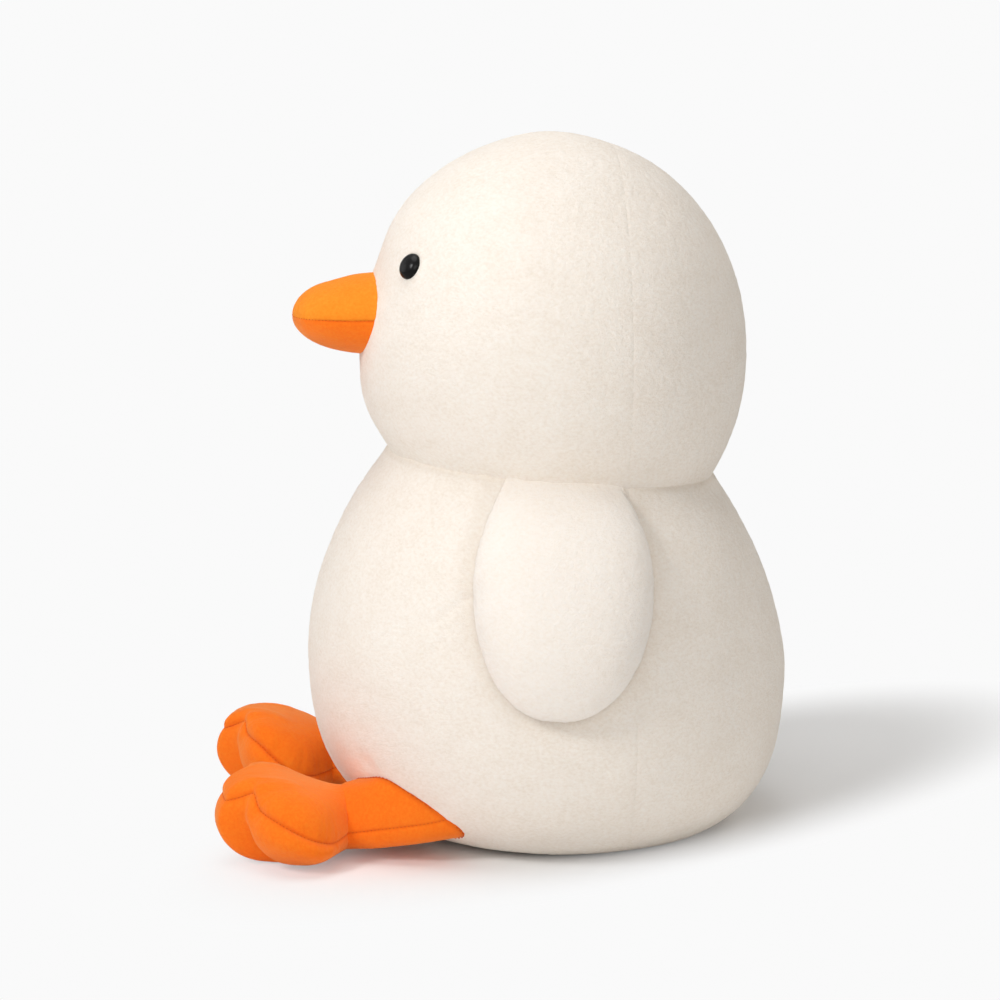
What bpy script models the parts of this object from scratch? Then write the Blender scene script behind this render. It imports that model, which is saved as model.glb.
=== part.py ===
"""Sitting plush duck, sewn from velour and orange cloth panels round loose filling.

Metres, +Z up. The duck faces -Y and its left side is +X. The origin is on the
flat underside, below the middle of the neck. Wings and legs turn at their seams.
"""

import math

import bmesh
import bpy
from mathutils import Matrix, Vector

# Cloth, clearances and fineness of the surfaces
COVER_THICKNESS = 0.0020
ORANGE_THICKNESS = 0.0016
CLEARANCE = 0.0003
FILLING_CLEARANCE = 0.0005
OVERRUN = 0.02
AROUND_COUNT = 40
DIFFERENCE_SHARE = 0.002
SHARP_ANGLE_DEGREES = 50.0
TURNED_UP_POWER_SHARE = 3.0
END_POWER_SHARE = 2.3

# Body
BODY_SWELL = 0.0450
BODY_WIDEST_HEIGHT = 0.095
BODY_BOWL_ROWS = 6
BODY_DOME_ROWS = 6
BASE_RADIUS = 0.072
BASE_SHIFT = 0.0075
CHEST_FORWARD = 0.0020
BOWL_POWER_SHARE = 2.5
BOWL_ROOT_SHARE = 0.50
TAPER_POWER_SHARE = 1.8
SEAM_PLACE = 0.036

# Neck crease, where the head is sewn to the body
NECK_RADIUS = 0.0935
NECK_HEIGHT = 0.2115
NECK_TILT_DEGREES = 4.9

# Head
HEAD_SWELL = 0.0190
HEAD_WIDEST_RISE = 0.0635
HEAD_CROWN = 0.123
HEAD_SHIFT = 0.0015
HEAD_JOWL_ROWS = 4
HEAD_CROWN_ROWS = 10
CROWN_POWER_SHARE = 2.0

# Eyes: a domed bead on a ribbed shank, held by a washer inside the head
EYE_RADIUS = 0.0075
EYE_DOME = 0.0058
EYE_RIM = 0.0009
EYE_TURN_DEGREES = 34.4
EYE_RISE_SHARE = 0.444
SHANK_RADIUS = 0.0024
SHANK_LENGTH = 0.0125
SHANK_RIB = 0.0003
SHANK_RIB_COUNT = 2
RIB_HALF_SHARE = 0.3
WASHER_RADIUS = 0.0070
WASHER_THICKNESS = 0.0011
EYE_COLUMN_COUNT = 14
EYE_DOME_ROWS = 4

# Beak
BEAK_RISE = 0.0225
BEAK_REACH = 0.033
BEAK_ROOT_DEPTH = 0.0275
BEAK_HALF_WIDTH = 0.0355
BEAK_TOP = 0.0240
BEAK_CHIN = 0.0228
BEAK_ROWS = 7
BEAK_COLUMNS = 12
BEAK_CORNER_SHARE = 0.42
BEAK_TIP_POWER_SHARE = 2.75

# Wings
WING_HINGE_OUT = 0.0020
WING_HINGE_DROP = 0.0005
WING_TOP_DROP = 0.0035
WING_LENGTH = 0.115
WING_PLACE = -0.0010
WING_SWEEP = 0.0055
WING_ROOT_HALF_WIDTH = 0.031
WING_HALF_WIDTH = 0.0465
WING_THICKNESS = 0.027
WING_STANDOFF = 0.0065
WING_SLOPE_DEGREES = 38.0
WING_GAP = 0.0007
WING_ROWS = 8
WING_COLUMNS = 12
WING_CORNER_SHARE = 0.47
WING_FILLED_FROM_SHARE = 0.22
WING_TIP_POWER_SHARE = 4.0
WING_SIDE_POWER_SHARE = 2.4

# Legs
ANKLE_SIDE = 0.0685
ANKLE_INSET = 0.0170
ANKLE_RADIUS = 0.0175
ANKLE_RISE = 0.0235
ANKLE_SINK = 0.0130
LEG_HEIGHT = 0.0165
LEG_LENGTH = 0.076
THIGH_SIDE = 0.0750
THIGH_HEIGHT = 0.0310
THIGH_HALF_WIDTH = 0.0300
THIGH_RISE = 0.0230
THIGH_SINK = 0.0150
HIP_HEIGHT = 0.0430
LEG_ROWS = 4
LEG_COLUMNS = 12

# Feet
FOOT_SPLAY_DEGREES = 8.0
FOOT_ROLL_DEGREES = 5.5
FOOT_LENGTH = 0.0715
FOOT_HALF_WIDTH = 0.0415
FOOT_BALL_HEIGHT = 0.0510
FOOT_TIP_HEIGHT = 0.0500
FOOT_SEAM_HEIGHT = 0.0385
FOOT_GAP_LIFT = 0.0045
HEEL_DIP = 0.0015
FOOT_ROWS = 8
FOOT_COLUMN_SHARES = (0, 0.12, 0.22, 0.29, 0.34, 0.39, 0.44, 0.49, 0.56, 0.66, 0.77, 0.87, 0.95, 1)
TOE_NOTCH = 0.0215
TOE_VALLEY_SHARE = 0.48
TOE_GAP_SHARE = 0.39
TOE_GAP_WIDTH_SHARE = 0.09
TOE_CORNER_SHARE = 0.48
TOE_FAN_POWER_SHARE = 1.8
TOE_TOP_POWER_SHARE = 7.0
TOE_SOLE_POWER_SHARE = 6.5
FOOT_SIDE_POWER_SHARE = 3.2
TOE_START_SHARE = 0.4
TOE_DEEPEN_SHARE = 0.5
FOOT_BROAD_SHARE = 0.6
INSTEP_SHARE = 0.45
BALL_SHARE = 0.5
CURL_START_SHARE = 0.25
CURL_LENGTH_SHARE = 0.65
LIFT_START_SHARE = 0.3
LIFT_LENGTH_SHARE = 0.4

# Sizes that follow from those above
BODY_RADIUS = NECK_RADIUS + BODY_SWELL
HEAD_RADIUS = NECK_RADIUS + HEAD_SWELL
NECK_TILT = math.tan(math.radians(NECK_TILT_DEGREES))
NECK_SHARE = math.sqrt(1 - (NECK_RADIUS / BODY_RADIUS) ** 2) ** (2 / TAPER_POWER_SHARE)
BODY_DOME = (NECK_HEIGHT - BODY_WIDEST_HEIGHT) / NECK_SHARE
HEAD_WIDEST_HEIGHT = NECK_HEIGHT + HEAD_WIDEST_RISE
HEAD_TOP_HEIGHT = HEAD_WIDEST_HEIGHT + HEAD_CROWN
HEAD_JOWL = HEAD_WIDEST_RISE / math.sqrt(1 - (NECK_RADIUS / HEAD_RADIUS) ** 2)
HEAD_INSIDE = (0, 0, HEAD_WIDEST_HEIGHT)
BODY_INSIDE = (0, 0, BODY_WIDEST_HEIGHT)
EYE_HEIGHT = HEAD_WIDEST_HEIGHT + HEAD_CROWN * EYE_RISE_SHARE
EYE_SAG = WASHER_RADIUS**2 / (2 * HEAD_RADIUS)
SHANK_HOLE_RADIUS = SHANK_RADIUS + SHANK_RIB + CLEARANCE
WASHER_DEPTH = COVER_THICKNESS + 2 * FILLING_CLEARANCE + EYE_SAG
COVER_INSET = COVER_THICKNESS + FILLING_CLEARANCE
BEAK_HEIGHT = HEAD_WIDEST_HEIGHT + BEAK_RISE
BEAK_ROOT = HEAD_RADIUS - BEAK_ROOT_DEPTH
BEAK_LENGTH = BEAK_REACH + BEAK_ROOT_DEPTH
WING_HINGE_SIDE = NECK_RADIUS + WING_HINGE_OUT
WING_HINGE_HEIGHT = NECK_HEIGHT - WING_HINGE_DROP
WING_TOP_HEIGHT = NECK_HEIGHT - WING_TOP_DROP
WING_ROOT_STANDOFF = COVER_THICKNESS + WING_GAP + CLEARANCE
ANKLE_PLACE = ANKLE_INSET - BODY_RADIUS

VELOUR = ("cream_velour", (0.88, 0.80, 0.71), 0.95)
ORANGE_CLOTH = ("orange_cloth", (0.93, 0.20, 0.02), 0.85)
POLYESTER = ("polyester_filling", (0.86, 0.86, 0.84), 1.0)
BLACK_GLOSS = ("black_gloss_plastic", (0.006, 0.005, 0.005), 0.12)
WHITE_PLASTIC = ("white_plastic", (0.75, 0.75, 0.72), 0.5)


def clear_scene():
    """Remove whatever the scene holds."""
    for obj in list(bpy.data.objects):
        bpy.data.objects.remove(obj, do_unlink=True)


def material(finish):
    """The Principled material of this name, made once."""
    name, colour, roughness = finish
    made = bpy.data.materials.get(name)
    if made:
        return made
    made = bpy.data.materials.new(name)
    made.use_nodes = True
    shader = made.node_tree.nodes["Principled BSDF"]
    shader.inputs["Base Color"].default_value = (*colour, 1)
    shader.inputs["Roughness"].default_value = roughness
    shader.inputs["Metallic"].default_value = 0
    made.diffuse_color = (*colour, 1)
    return made


def add_object(name, bm, finish):
    """A smooth-shaded object made from the bmesh, which is freed."""
    mesh = bpy.data.meshes.new(name)
    bm.to_mesh(mesh)
    bm.free()
    mesh.shade_smooth()
    mesh.set_sharp_from_angle(angle=math.radians(SHARP_ANGLE_DEGREES))
    mesh.materials.append(material(finish))
    obj = bpy.data.objects.new(name, mesh)
    bpy.context.scene.collection.objects.link(obj)
    return obj


def as_cutter(obj):
    """Keep a helper solid out of the renders."""
    obj.hide_render = True
    obj.display_type = "WIRE"
    return obj


def cut(obj, cutter):
    """Take the cutter away from the object."""
    modifier = obj.modifiers.new("cut_by_" + cutter.name, "BOOLEAN")
    modifier.operation = "DIFFERENCE"
    modifier.solver = "EXACT"
    modifier.object = cutter


def thicken(obj, thickness):
    """Give a cloth panel its thickness, inwards from its outer face."""
    modifier = obj.modifiers.new("cloth", "SOLIDIFY")
    modifier.thickness = thickness
    modifier.offset = -1


def blend(low, high, share):
    return low + (high - low) * share


def smooth_step(share):
    """0 to 1 with level ends."""
    share = min(max(share, 0.0), 1.0)
    return share * share * (3 - 2 * share)


def add_grid(bm, rows, columns, point, closed=False):
    """Quads through point(row, column), whose last column a closed grid joins to its first."""
    grid = [[bm.verts.new(point(row, column)) for column in columns] for row in rows]
    across = len(columns) if closed else len(columns) - 1
    for low, high in zip(grid, grid[1:]):
        for i in range(across):
            j = (i + 1) % len(columns)
            bm.faces.new((low[i], low[j], high[j], high[i]))
    return grid


def rim_of(grid):
    """The points round the edge of an open grid, in order."""
    right = [row[-1] for row in grid[1:-1]]
    left = [row[0] for row in grid[1:-1]]
    return grid[0] + right + grid[-1][::-1] + left[::-1]


def add_band(bm, first, second):
    """Quads between two rows of points."""
    for i in range(len(first) - 1):
        bm.faces.new((first[i], first[i + 1], second[i + 1], second[i]))


def weld(bm):
    """Join the points that fall together."""
    bmesh.ops.remove_doubles(bm, verts=bm.verts, dist=CLEARANCE / 100)


def face_away(bm, inside):
    """Turn the faces of an open surface away from a point inside it."""
    bm.normal_update()
    centre = Vector(inside)
    outward = sum((f.calc_center_median() - centre).dot(f.normal) * f.calc_area() for f in bm.faces)
    if outward < 0:
        bmesh.ops.reverse_faces(bm, faces=bm.faces)


def close_up(bm):
    """Cap the open ends and face the solid outwards."""
    weld(bm)
    bmesh.ops.holes_fill(bm, edges=[e for e in bm.edges if e.is_boundary], sides=0)
    bmesh.ops.recalc_face_normals(bm, faces=bm.faces)


def outward_normal(surface, height, turn, low, high):
    """Unit normal of a round surface, read between its two end heights."""
    reach = DIFFERENCE_SHARE * (high - low)
    level = min(max(height, low + reach), high - reach)
    rise = surface(level + reach, turn) - surface(level - reach, turn)
    around = surface(level, turn + DIFFERENCE_SHARE) - surface(level, turn - DIFFERENCE_SHARE)
    return around.cross(rise).normalized()


def inset_point(surface, height, turn, depth, low, high):
    """Point at a depth under a round surface."""
    return surface(height, turn) - outward_normal(surface, height, turn, low, high) * depth


def turns(count):
    """Angles round a full turn."""
    return [2 * math.pi * i / count for i in range(count)]


def body_radius(height):
    """A full bowl up to the widest height, and a tapering dome above it."""
    if height < BODY_WIDEST_HEIGHT:
        drop = 1 - max(height, 0) / BODY_WIDEST_HEIGHT
        return blend(BASE_RADIUS, BODY_RADIUS, (1 - drop**BOWL_POWER_SHARE) ** BOWL_ROOT_SHARE)
    rise = min((height - BODY_WIDEST_HEIGHT) / BODY_DOME, 1)
    return BODY_RADIUS * math.sqrt(1 - rise**TAPER_POWER_SHARE)


def body_centre(height):
    """How far back the body's middle lies: behind at the base, forward at the chest."""
    if height < BODY_WIDEST_HEIGHT:
        return BASE_SHIFT * (1 - height / BODY_WIDEST_HEIGHT) ** 2
    rise = min((height - BODY_WIDEST_HEIGHT) / (NECK_HEIGHT - BODY_WIDEST_HEIGHT), 1)
    return HEAD_SHIFT * smooth_step(rise) - CHEST_FORWARD * math.sin(math.pi * rise)


def body_lean(height):
    """Slope of a level ring of the body, up to the tilt of the neck."""
    return NECK_TILT * max(height / NECK_HEIGHT, 0) ** TURNED_UP_POWER_SHARE


def body_point(height, turn):
    """Point of the body's outer face. The turn runs from the front over the left side."""
    radius = body_radius(height)
    place = body_centre(height) - radius * math.cos(turn)
    return Vector((radius * math.sin(turn), place, height - place * body_lean(height)))


def head_radius(height):
    """Round jowls up to the widest height, and a slightly fuller crown above it."""
    if height < HEAD_WIDEST_HEIGHT:
        return HEAD_RADIUS * math.sqrt(1 - ((HEAD_WIDEST_HEIGHT - height) / HEAD_JOWL) ** 2)
    rise = min((height - HEAD_WIDEST_HEIGHT) / HEAD_CROWN, 1)
    return HEAD_RADIUS * math.sqrt(1 - rise**CROWN_POWER_SHARE)


def head_point(height, turn):
    """Point of the head's outer face."""
    radius = head_radius(height)
    place = HEAD_SHIFT - radius * math.cos(turn)
    fall = min((HEAD_TOP_HEIGHT - height) / (HEAD_TOP_HEIGHT - NECK_HEIGHT), 1)
    tilt = NECK_TILT * fall**TURNED_UP_POWER_SHARE
    return Vector((radius * math.sin(turn), place, height - place * tilt))


def body_levels(top, step=1):
    """Heights of the body's rows, closest together where the bowl curls under."""
    quarter = math.pi / 2
    bowl = [
        BODY_WIDEST_HEIGHT * (1 - math.cos(quarter * i / BODY_BOWL_ROWS) ** (2 / BOWL_POWER_SHARE))
        for i in range(0, BODY_BOWL_ROWS, step)
    ]
    dome = [blend(BODY_WIDEST_HEIGHT, top, i / BODY_DOME_ROWS) for i in range(0, BODY_DOME_ROWS + 1, step)]
    return bowl + dome


def head_levels(low, step=1):
    """Heights of the head's rows, closest together at the crown."""
    quarter = math.pi / 2
    jowl = [blend(low, HEAD_WIDEST_HEIGHT, i / HEAD_JOWL_ROWS) for i in range(0, HEAD_JOWL_ROWS, step)]
    crown = [
        HEAD_WIDEST_HEIGHT + HEAD_CROWN * math.sin(quarter * i / HEAD_CROWN_ROWS)
        for i in range(0, HEAD_CROWN_ROWS, step)
    ]
    return jowl + crown


def body_surface(depth, step=1):
    """The body's surface at a depth, open at the base and at the neck."""
    bm = bmesh.new()

    def point(height, turn):
        return inset_point(body_point, height, turn, depth, 0, NECK_HEIGHT)

    levels = body_levels(NECK_HEIGHT - CLEARANCE / 2, step)
    return bm, add_grid(bm, levels, turns(AROUND_COUNT // step), point, closed=True)


def head_surface(depth, step=1):
    """The head's surface at a depth, open at the neck."""
    bm = bmesh.new()

    def point(height, turn):
        return inset_point(head_point, height, turn, depth, NECK_HEIGHT, HEAD_TOP_HEIGHT)

    levels = head_levels(NECK_HEIGHT + CLEARANCE / 2, step)
    grid = add_grid(bm, levels, turns(AROUND_COUNT // step), point, closed=True)
    crown = bm.verts.new((0, HEAD_SHIFT, HEAD_TOP_HEIGHT - depth))
    for i, corner in enumerate(grid[-1]):
        bm.faces.new((corner, grid[-1][(i + 1) % len(grid[-1])], crown))
    return bm, grid


def add_neck_ring(bm, edge, height):
    """Carry a filling's rim to the neck's level, clear of both covers."""
    radius = NECK_RADIUS - 2 * COVER_INSET
    ring = []
    for turn in turns(len(edge)):
        place = HEAD_SHIFT - radius * math.cos(turn)
        ring.append(bm.verts.new((radius * math.sin(turn), place, height - place * NECK_TILT)))
    for i in range(len(edge)):
        j = (i + 1) % len(edge)
        bm.faces.new((edge[i], edge[j], ring[j], ring[i]))


def half_box(name, place_from, place_to):
    """Box across the whole duck between two places along Y."""
    bm = bmesh.new()
    bmesh.ops.create_cube(bm, size=1)
    reach = BODY_RADIUS + OVERRUN
    size = (2 * reach, place_to - place_from, HEAD_TOP_HEIGHT + 2 * OVERRUN)
    middle = (0, (place_from + place_to) / 2, HEAD_TOP_HEIGHT / 2)
    bm.transform(Matrix.Translation(middle) @ Matrix.Diagonal((*size, 1)))
    return as_cutter(add_object(name, bm, POLYESTER))


def body_and_head(cutters):
    """Front and back panels of both covers, split at the side seam, and their fillings."""
    made = {}
    for part, surface, inside in (("body", body_surface, BODY_INSIDE), ("head", head_surface, HEAD_INSIDE)):
        for half in ("front", "back"):
            bm, _ = surface(0)
            face_away(bm, inside)
            name = f"{part}_{half}_panel"
            made[name] = add_object(name, bm, VELOUR)
            thicken(made[name], COVER_THICKNESS)
            cut(made[name], cutters[half])
    bm, grid = body_surface(COVER_INSET, step=2)
    add_neck_ring(bm, grid[-1], NECK_HEIGHT - CLEARANCE / 2)
    close_up(bm)
    made["body_filling"] = add_object("body_filling", bm, POLYESTER)
    bm, grid = head_surface(COVER_INSET, step=2)
    add_neck_ring(bm, grid[0], NECK_HEIGHT + CLEARANCE / 2)
    close_up(bm)
    made["head_filling"] = add_object("head_filling", bm, POLYESTER)
    return made


def base_panel():
    """Flat round cloth that closes the underside."""
    bm = bmesh.new()
    bmesh.ops.create_cone(
        bm,
        cap_ends=True,
        segments=AROUND_COUNT,
        radius1=BASE_RADIUS - 2 * CLEARANCE,
        radius2=BASE_RADIUS - 2 * CLEARANCE,
        depth=COVER_THICKNESS,
        matrix=Matrix.Translation((0, BASE_SHIFT, COVER_THICKNESS / 2)),
    )
    return add_object("base_panel", bm, VELOUR)


def closed_form(name, surface):
    """Solid of the body or the head, one clearance larger, that cuts what meets it."""
    bm, _ = surface(-CLEARANCE)
    close_up(bm)
    return as_cutter(add_object(name, bm, POLYESTER))


def turned(name, profile, finish, middle, outward):
    """Solid turned from (radius, height) points round an axis through the middle."""
    bm = bmesh.new()
    frame = Matrix.Translation(middle) @ outward.to_track_quat("Z", "Y").to_matrix().to_4x4()

    def point(corner, turn):
        radius, height = corner
        return frame @ Vector((radius * math.cos(turn), radius * math.sin(turn), height))

    add_grid(bm, profile, turns(EYE_COLUMN_COUNT), point, closed=True)
    close_up(bm)
    return add_object(name, bm, finish)


def eye_profile():
    """Dome over a thin rim, then the shank with its ribs, from the axis back to it."""
    dome = []
    for i in range(EYE_DOME_ROWS + 1):
        lean = math.pi / 2 * i / EYE_DOME_ROWS
        dome.append((EYE_RADIUS * math.sin(lean), EYE_RIM + EYE_DOME * math.cos(lean)))
    shank = [(EYE_RADIUS, 0), (SHANK_RADIUS, 0)]
    pitch = SHANK_LENGTH / (SHANK_RIB_COUNT + 2)
    for rib in range(2, SHANK_RIB_COUNT + 2):
        shank += [
            (SHANK_RADIUS, -pitch * (rib - RIB_HALF_SHARE)),
            (SHANK_RADIUS + SHANK_RIB, -pitch * rib),
            (SHANK_RADIUS, -pitch * (rib + RIB_HALF_SHARE)),
        ]
    return dome + shank + [(SHANK_RADIUS, -SHANK_LENGTH), (0, -SHANK_LENGTH)]


def tube_profile(inner, outer, low, high):
    """Closed profile of a plain ring."""
    return [(inner, low), (outer, low), (outer, high), (inner, high), (inner, low)]


def rod_profile(radius, low, high):
    """Profile of a plain rod, from axis to axis."""
    return [(0, high), (radius, high), (radius, low), (0, low)]


def eyes(head_panel, head_filling):
    """Both beads and washers, with the shank's hole in the cover and its room in the filling."""
    made = {}
    turn = math.radians(EYE_TURN_DEGREES)
    for side_name, angle in (("left", turn), ("right", -turn)):
        middle = head_point(EYE_HEIGHT, angle)
        outward = outward_normal(head_point, EYE_HEIGHT, angle, NECK_HEIGHT, HEAD_TOP_HEIGHT)
        seat = middle + outward * CLEARANCE
        name = f"{side_name}_eye"
        made[name] = turned(name, eye_profile(), BLACK_GLOSS, seat, outward)
        ring = tube_profile(SHANK_HOLE_RADIUS, WASHER_RADIUS, -WASHER_DEPTH - WASHER_THICKNESS, -WASHER_DEPTH)
        made[f"{name}_washer"] = turned(f"{name}_washer", ring, WHITE_PLASTIC, middle, outward)
        hole = rod_profile(SHANK_HOLE_RADIUS, -COVER_INSET - OVERRUN / 2, OVERRUN / 2)
        cut(head_panel, as_cutter(turned(f"{name}_hole", hole, POLYESTER, middle, outward)))
        room_end = CLEARANCE - SHANK_LENGTH - 2 * FILLING_CLEARANCE
        room = rod_profile(WASHER_RADIUS + CLEARANCE, room_end, OVERRUN / 2)
        cut(head_filling, as_cutter(turned(f"{name}_room", room, POLYESTER, middle, outward)))
    return made


class Pad:
    """A sewn pad of two panels that meet in a seam down both sides and round the far end.

    At the share s of its length and the share q of its half width, the pad reaches
    reach(q) * s forward, is half_width(forward) wide to each side, and its faces
    stand rise(s, q) over and sink(s, q) under the seam, rounded by the powers of the
    far end, one for each face, and of the sides. place(forward, side, lift) puts a
    point of the pad in the duck.
    """

    def __init__(self, place, reach, half_width, rise, sink, end_powers=None, side_power=lambda s: 2):
        self.place = place
        self.reach = reach
        self.half_width = half_width
        self.rise = rise
        self.sink = sink
        self.end_powers = end_powers
        self.side_power = side_power
        self.column_shares = None

    def point(self, s, q, face, inset=0.0, gap=0.0):
        forward = s * (self.reach(q) - inset)
        side = q * (self.half_width(forward) - inset)
        stand = (self.rise(s, q) if face > 0 else self.sink(s, q)) - inset
        roundness = math.sqrt(max(1 - abs(q) ** self.side_power(s), 0))
        if self.end_powers:
            power = self.end_powers[0] if face > 0 else self.end_powers[1]
            roundness *= math.sqrt(max(1 - s**power, 0))
        return self.place(forward, side, face * (max(stand, CLEARANCE / 2) * roundness + gap))

    def shares(self, rows, columns):
        """Shares that crowd towards the seam."""
        quarter = math.pi / 2
        along = [i / rows for i in range(rows + 1)]
        if self.end_powers:
            along = [math.sin(quarter * share) for share in along]
        across = [-math.cos(math.pi * i / columns) for i in range(columns + 1)]
        if self.column_shares:
            across = [-share for share in self.column_shares[:0:-1]] + list(self.column_shares)
        return along, across

    def panel(self, name, face, rows, columns, finish, thickness):
        """One face of the pad as a cloth panel."""
        bm = bmesh.new()
        along, across = self.shares(rows, columns)
        skins = [
            add_grid(bm, along, across, lambda s, q: self.point(s, q, face, inset, CLEARANCE / 2))
            for inset in (0, thickness)
        ]
        outer, inner = (rim_of(grid) for grid in skins)
        for i in range(len(outer)):
            bm.faces.new((outer[i - 1], outer[i], inner[i], inner[i - 1]))
        close_up(bm)
        return add_object(name, bm, finish)

    def filling(self, name, rows, columns, inset, start_share=0.0):
        """What the two panels hold, clear of both, from a share of the pad's length on."""
        bm = bmesh.new()
        along, across = self.shares(rows, columns)
        along = [share for share in along if share >= start_share]
        over, under = (
            add_grid(bm, along, across, lambda s, q: self.point(s, q, face, inset=inset)) for face in (1, -1)
        )
        for end in (0, -1):
            add_band(bm, over[end], under[end])
        close_up(bm)
        return add_object(name, bm, POLYESTER)

    def pieces(self, name, sides, rows, columns, finish, thickness, start_share=0.0):
        """Both panels, named by their sides, and the filling."""
        made = [
            self.panel(f"{name}_{side}_panel", face, rows, columns, finish, thickness)
            for side, face in zip(sides, (1, -1))
        ]
        inset = thickness + FILLING_CLEARANCE
        return made + [self.filling(f"{name}_filling", rows, columns, inset, start_share)]


def rounded_end(q, length, corner_share, power_share=END_POWER_SHARE):
    """Length of a pad whose far end is a half oval that starts at the corner share."""
    return length * blend(corner_share, 1, math.sqrt(max(1 - abs(q) ** power_share, 0)))


def beak(head_form):
    """Upper and lower bill panels and their filling, cut to the head."""
    pad = Pad(
        place=lambda forward, side, lift: Vector((side, -BEAK_ROOT - forward, BEAK_HEIGHT + lift)),
        reach=lambda q: rounded_end(q, BEAK_LENGTH, BEAK_CORNER_SHARE),
        half_width=lambda forward: BEAK_HALF_WIDTH,
        rise=lambda s, q: BEAK_TOP,
        sink=lambda s, q: BEAK_CHIN,
        end_powers=(BEAK_TIP_POWER_SHARE, BEAK_TIP_POWER_SHARE),
    )
    made = pad.pieces("beak", ("upper", "lower"), BEAK_ROWS, BEAK_COLUMNS, ORANGE_CLOTH, ORANGE_THICKNESS)
    for obj in made:
        cut(obj, head_form)


def body_side(place, height):
    """Where the left of the body lies at a place and a height, but no nearer in than the wing's hinge."""
    level = height
    for _ in range(3):
        level = height + place * body_lean(level)
    across = place - body_centre(level)
    return max(math.sqrt(body_radius(level) ** 2 - across**2), WING_HINGE_SIDE)


def wing(side_name, mirror):
    """A pad that lies against the body and hangs from the neck crease."""
    slope = math.tan(math.radians(WING_SLOPE_DEGREES))
    near = DIFFERENCE_SHARE * BODY_RADIUS

    def standoff(forward):
        share = smooth_step(forward / (WING_LENGTH * WING_CORNER_SHARE))
        return blend(WING_ROOT_STANDOFF, WING_STANDOFF, share)

    def place(forward, side, lift):
        height = WING_TOP_HEIGHT - forward
        along = WING_PLACE - WING_SWEEP * forward / WING_LENGTH + side
        across = body_side(along, height)
        slide = (body_side(along + near, height) - body_side(along - near, height)) / (2 * near)
        climb = (body_side(along, height + near) - body_side(along, height - near)) / (2 * near)
        outward = Vector((1, -slide, -climb)).normalized()
        point = Vector((across, along, height)) + outward * (standoff(forward) + lift)
        return Vector((point.x * mirror, point.y, point.z))

    def reach(q):
        return rounded_end(q, WING_LENGTH, WING_CORNER_SHARE)

    def rise(s, q):
        forward = s * reach(q)
        full = WING_THICKNESS - standoff(forward)
        grown = WING_ROOT_STANDOFF + forward * slope
        return full * (1 - math.exp(-grown / full))

    def sink(s, q):
        return standoff(s * reach(q)) - WING_GAP

    def half_width(forward):
        share = min(forward / (WING_LENGTH * WING_CORNER_SHARE), 1)
        return blend(WING_ROOT_HALF_WIDTH, WING_HALF_WIDTH, 1 - (1 - share) ** 2)

    end_powers = (WING_TIP_POWER_SHARE, WING_TIP_POWER_SHARE)
    pad = Pad(place, reach, half_width, rise, sink, end_powers, lambda s: WING_SIDE_POWER_SHARE)
    sides = ("outer", "inner")
    name = side_name + "_wing"
    return pad.pieces(name, sides, WING_ROWS, WING_COLUMNS, VELOUR, COVER_THICKNESS, WING_FILLED_FROM_SHARE)


def leg(side_name, mirror, body_form):
    """A flat sleeve of two panels that widens from the ankle to the body."""
    splay = math.radians(FOOT_SPLAY_DEGREES)

    def place(forward, side, lift):
        share = forward / LEG_LENGTH
        angle = splay * (1 - share)
        back = forward + CLEARANCE / 2
        x = blend(ANKLE_SIDE, THIGH_SIDE, share) + side * math.cos(angle)
        y = ANKLE_PLACE + back + side * math.sin(angle)
        return Vector((mirror * x, y, blend(LEG_HEIGHT, THIGH_HEIGHT, share) + lift))

    pad = Pad(
        place=place,
        reach=lambda q: LEG_LENGTH,
        half_width=lambda forward: blend(ANKLE_RADIUS, THIGH_HALF_WIDTH, forward / LEG_LENGTH),
        rise=lambda s, q: blend(ANKLE_RISE, THIGH_RISE, s),
        sink=lambda s, q: blend(ANKLE_SINK, THIGH_SINK, s),
    )
    sides = ("upper", "lower")
    made = pad.pieces(side_name + "_leg", sides, LEG_ROWS, LEG_COLUMNS, ORANGE_CLOTH, ORANGE_THICKNESS)
    for obj in made:
        cut(obj, body_form)
    return made


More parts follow.
